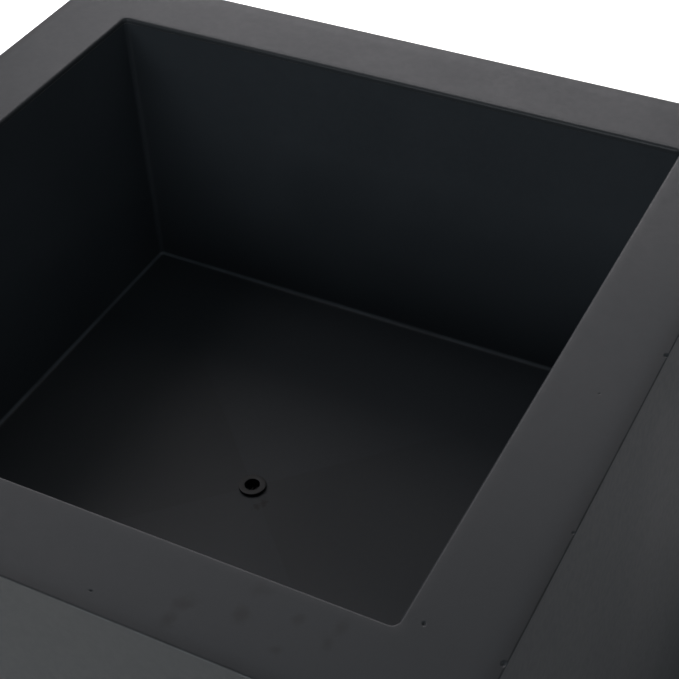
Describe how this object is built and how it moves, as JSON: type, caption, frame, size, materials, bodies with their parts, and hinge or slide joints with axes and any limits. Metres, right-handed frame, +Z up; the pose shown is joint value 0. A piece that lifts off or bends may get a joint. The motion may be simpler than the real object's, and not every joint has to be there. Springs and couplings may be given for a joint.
{
  "type": "square fire pit",
  "caption": "Square fire pit: cast charcoal concrete shell with a wide flat rim and a spreading skirt, a deep drafted firebox with a drain bush in its dished floor, on levelling feet.",
  "frame": {"origin": "on the ground under the middle of the pit", "axes": "+Z up out of the rim, -Y to the front, +X to the right, square to the outer walls"},
  "size_m": [0.887, 0.887, 0.61],
  "materials": {
    "coated_concrete": "satin",
    "joint_mortar": "matte",
    "frame_enamel": "satin",
    "drain_enamel": "satin",
    "zinc_steel": "satin",
    "insert_brass": "satin",
    "ceramic_fibre": "matte",
    "black_rubber": "matte",
    "black_nylon": "matte"
  },
  "bodies": {
    "root": {"outer_shell": "coated_concrete", "firebox_tub": "coated_concrete", "joint_mortar": "joint_mortar", "base_frame": "frame_enamel", "trestle_front": "frame_enamel", "trestle_back": "frame_enamel", "heat_pads": "ceramic_fibre", "trestle_bolts": "zinc_steel", "trestle_nuts": "zinc_steel", "skirt_inserts": "insert_brass", "skirt_screws": "zinc_steel", "drain_bush": "drain_enamel", "drain_gasket": "black_rubber", "drain_strainer": "drain_enamel", "drain_washer": "zinc_steel", "drain_locknut": "zinc_steel", "foot_weld_nuts": "zinc_steel"},
    "foot_front_left": {"foot_pad_front_left": "black_nylon", "foot_sole_front_left": "black_rubber"},
    "stud_front_left": {"foot_stud_front_left": "zinc_steel"},
    "foot_front_right": {"foot_pad_front_right": "black_nylon", "foot_sole_front_right": "black_rubber"},
    "stud_front_right": {"foot_stud_front_right": "zinc_steel"},
    "foot_back_left": {"foot_pad_back_left": "black_nylon", "foot_sole_back_left": "black_rubber"},
    "stud_back_left": {"foot_stud_back_left": "zinc_steel"},
    "foot_back_right": {"foot_pad_back_right": "black_nylon", "foot_sole_back_right": "black_rubber"},
    "stud_back_right": {"foot_stud_back_right": "zinc_steel"}
  },
  "joints": [
    {"name": "foot_front_left_height", "type": "slide", "parent": "root", "child": "foot_front_left", "axis": [0, 0, -1], "range_m": [0, 0.012]},
    {"name": "foot_front_left_screw", "type": "hinge", "parent": "foot_front_left", "child": "stud_front_left", "pos_m": [-0.40864, -0.40864, 0.02], "axis": [0, 0, -1], "range_deg": [0, 2880]},
    {"name": "foot_front_right_height", "type": "slide", "parent": "root", "child": "foot_front_right", "axis": [0, 0, -1], "range_m": [0, 0.012]},
    {"name": "foot_front_right_screw", "type": "hinge", "parent": "foot_front_right", "child": "stud_front_right", "pos_m": [0.40864, -0.40864, 0.02], "axis": [0, 0, -1], "range_deg": [0, 2880]},
    {"name": "foot_back_left_height", "type": "slide", "parent": "root", "child": "foot_back_left", "axis": [0, 0, -1], "range_m": [0, 0.012]},
    {"name": "foot_back_left_screw", "type": "hinge", "parent": "foot_back_left", "child": "stud_back_left", "pos_m": [-0.40864, 0.40864, 0.02], "axis": [0, 0, -1], "range_deg": [0, 2880]},
    {"name": "foot_back_right_height", "type": "slide", "parent": "root", "child": "foot_back_right", "axis": [0, 0, -1], "range_m": [0, 0.012]},
    {"name": "foot_back_right_screw", "type": "hinge", "parent": "foot_back_right", "child": "stud_back_right", "pos_m": [0.40864, 0.40864, 0.02], "axis": [0, 0, -1], "range_deg": [0, 2880]}
  ],
  "couplings": [
    {"joint": "foot_front_left_screw", "follows": "foot_front_left_height", "rad_per_m": 4188.8},
    {"joint": "foot_front_right_screw", "follows": "foot_front_right_height", "rad_per_m": 4188.8},
    {"joint": "foot_back_left_screw", "follows": "foot_back_left_height", "rad_per_m": 4188.8},
    {"joint": "foot_back_right_screw", "follows": "foot_back_right_height", "rad_per_m": 4188.8}
  ]
}
